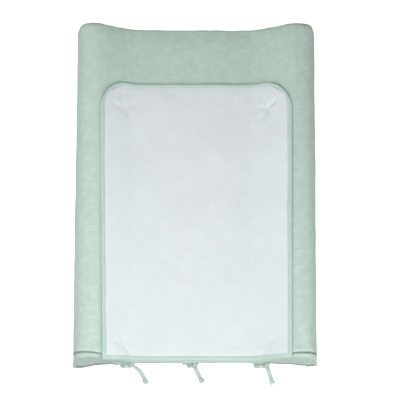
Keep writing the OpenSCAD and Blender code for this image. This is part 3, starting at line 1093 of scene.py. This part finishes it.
def cover_finish():
    """Tonal jacquard: soft blotches of fine strokes on a plain knit, with painted shade along the foot
    seam's crease.
    """
    finish = Finish("cover fabric", COVER_GREEN, 0.88, sheen=0.15)
    cloth = finish.cloth_coordinates()
    blotches = finish.ramp(finish.noise(cloth, 60, 1), 0.36, 0.70)
    stretched = finish.cloth_coordinates((0.22, 2.4, 1))
    strokes = finish.ramp(finish.noise(stretched, 190, 1.5), 0.36, 0.64)
    pattern = finish.math("MULTIPLY", blotches, strokes)
    cast = finish.math("MULTIPLY", finish.noise(cloth, 9, 2), 0.4)
    finish.tint(finish.math("ADD", pattern, cast), 0.95, 1.08)
    # Painted shade: the colour drops to half in the crease along the foot seam, outside the towel.
    finish.shade(finish.foot_seam_painted_shade(cloth), 0.5)
    finish.bump(finish.weave(cloth, 1.3 * MM), 0.12 * MM, 0.7)
    finish.bump(finish.noise(cloth, 700, 2), 0.25 * MM, 0.5)
    finish.bump(pattern, 0.15 * MM, 0.6)
    return finish.material


def plain_finish(name, color, pitch):
    """A plain woven cloth or tape."""
    finish = Finish(name, color, 0.9, sheen=0.15)
    cloth = finish.cloth_coordinates()
    finish.tint(finish.noise(cloth, 160, 3), 0.93, 1.06)
    finish.bump(finish.weave(cloth, pitch), 0.15 * MM, 0.8)
    finish.bump(finish.noise(cloth, 500, 2), 0.2 * MM, 0.5)
    return finish.material


def tape_finish():
    """Cotton tape, finely woven."""
    finish = Finish("tie tape", TAPE_GREEN, 0.9, sheen=0.15)
    cloth = finish.cloth_coordinates()
    finish.tint(finish.noise(cloth, 240, 2), 0.92, 1.08)
    finish.bump(finish.weave(cloth, 0.9 * MM), 0.2 * MM, 0.9)
    return finish.material


def terry_finish():
    """Terry: small loops, uneven where the pile is brushed."""
    finish = Finish("terry", (0.80, 0.85, 0.875), 0.95, sheen=0.35)
    cloth = finish.cloth_coordinates()
    loops = finish.add("TexVoronoi", Vector=cloth, Scale=520.0)
    finish.tint(finish.noise(cloth, 40, 3), 0.97, 1.02)
    finish.bump(loops.outputs["Distance"], 1.1 * MM, 0.55)
    finish.bump(finish.noise(cloth, 130, 3), 1.2 * MM, 0.5)
    return finish.material


def backing_finish():
    """The smooth knit under the terry."""
    finish = Finish("towel backing", (0.74, 0.76, 0.765), 0.85)
    cloth = finish.cloth_coordinates((1, 1.6, 1))
    finish.tint(finish.noise(cloth, 90, 2), 0.96, 1.03)
    finish.bump(finish.weave(cloth, 1.6 * MM), 0.2 * MM, 0.8)
    return finish.material


def foam_finish():
    """Open-cell foam, a little yellowed."""
    finish = Finish("foam", (0.80, 0.72, 0.42), 0.95)
    solid = finish.solid_coordinates()
    pores = finish.add("TexVoronoi", Vector=solid, Scale=620.0)
    finish.tint(finish.noise(solid, 25, 4), 0.93, 1.04)
    finish.bump(pores.outputs["Distance"], 0.7 * MM, 0.8)
    return finish.material


def liner_finish():
    """Wipe-clean film, slightly crinkled."""
    finish = Finish("liner film", (0.74, 0.78, 0.79), 0.32, coat=0.2)
    solid = finish.solid_coordinates()
    finish.tint(finish.noise(solid, 14, 3), 0.96, 1.03)
    finish.bump(finish.noise(solid, 45, 4), 1.2 * MM, 0.5)
    return finish.material


def snap_finish():
    """Moulded plastic with a fine satin grain."""
    finish = Finish("snap plastic", (0.72, 0.72, 0.68), 0.42)
    solid = finish.solid_coordinates()
    finish.tint(finish.noise(solid, 300, 2), 0.97, 1.02)
    finish.bump(finish.noise(solid, 2600, 2), 0.05 * MM, 0.5)
    return finish.material


# ---- The stage ----


def make_camera():
    """Looks down at the pad from above its foot end."""
    data = bpy.data.cameras.new("camera")
    data.lens = CAMERA_LENS
    data.sensor_width = SENSOR
    data.clip_end = 50
    back = Vector((0, -math.cos(CAMERA_ELEVATION), math.sin(CAMERA_ELEVATION)))
    level_right = Vector((1, 0, 0))
    level_up = back.cross(level_right)
    right = level_right * math.cos(CAMERA_ROLL) + level_up * math.sin(CAMERA_ROLL)
    up = back.cross(right)
    place = CAMERA_TARGET + back * CAMERA_DISTANCE + right * CAMERA_SLIDE[0] + up * CAMERA_SLIDE[1]
    camera = place_object("camera", data)
    camera.matrix_world = Matrix.Translation(place) @ Matrix((right, up, back)).transposed().to_4x4()
    bpy.context.scene.camera = camera


def make_floor():
    """A white floor that lights nothing."""
    corners = [(x, y, 0) for y in (-FLOOR_HALF_W, FLOOR_HALF_W) for x in (-FLOOR_HALF_W, FLOOR_HALF_W)]
    floor = new_piece("floor", corners, [[0, 1, 3, 2]], smooth=False)
    finish = Finish("floor", (0.9, 0.9, 0.9), 0.9)
    finish.tint(finish.noise(finish.solid_coordinates(), 30, 2), 0.995, 1.005)
    finish.shader.inputs["Emission Color"].default_value = (1, 1, 1, 1)
    finish.shader.inputs["Emission Strength"].default_value = 0.8
    floor.data.materials.append(finish.material)
    floor.location.z = -0.2 * MM
    floor.visible_diffuse = False


def make_light():
    """A white sky and soft lights all round."""
    world = bpy.data.worlds.new("sky")
    world.use_nodes = True
    background = world.node_tree.nodes["Background"]
    background.inputs["Color"].default_value = (1, 1, 1, 1)
    background.inputs["Strength"].default_value = SKY_STRENGTH
    bpy.context.scene.world = world
    for name, place, target, size, power in LAMPS:
        data = bpy.data.lights.new(name, "AREA")
        data.shape = "SQUARE"
        data.size = size
        data.energy = power
        light = place_object(name, data)
        light.visible_camera = False
        light.location = place
        aim = Vector(target) - Vector(place)
        light.rotation_euler = aim.to_track_quat("-Z", "Y").to_euler()
    bpy.context.scene.view_settings.view_transform = "Standard"


def finish_cad_nodes():
    """The CAD nodes that stay get their finishes."""
    material = snap_finish()
    for name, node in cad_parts.items():
        if name.startswith("snap"):
            node.data.materials.clear()
            node.data.materials.append(material)


# ---- The whole ----

make_camera()
tape_cloth = tape_finish()
make_ties(tape_cloth)

cover_cloth = cover_finish()
plain_cloth = plain_finish("base cloth", BASE_GREEN, 1.0 * MM)
surface = cover_surface()
split_cover(surface, cover_cloth)
base_panel(plain_cloth)
# The hem's material carries painted shade in its dark green.
foot_hem(surface, plain_finish("hem", HEM_PAINTED_SHADE_GREEN, 0.8 * MM))
tuck_flap(plain_cloth, tape_cloth)
make_core(surface)

binding_cloth = plain_finish("binding", BINDING_GREEN, 0.8 * MM)
terry = towel_layer("towel_terry_pile", *TERRY, 6 * MM, terry_finish(), "terry", "towel_terry")
backing = towel_layer(
    "towel_backing_knit", *BACKING, 6 * MM, backing_finish(), "towel_backing", "towel_backing"
)
binding = binding_band(binding_cloth)
stitches = binding_stitches(binding_cloth)

finish_cad_nodes()
make_floor()
make_light()
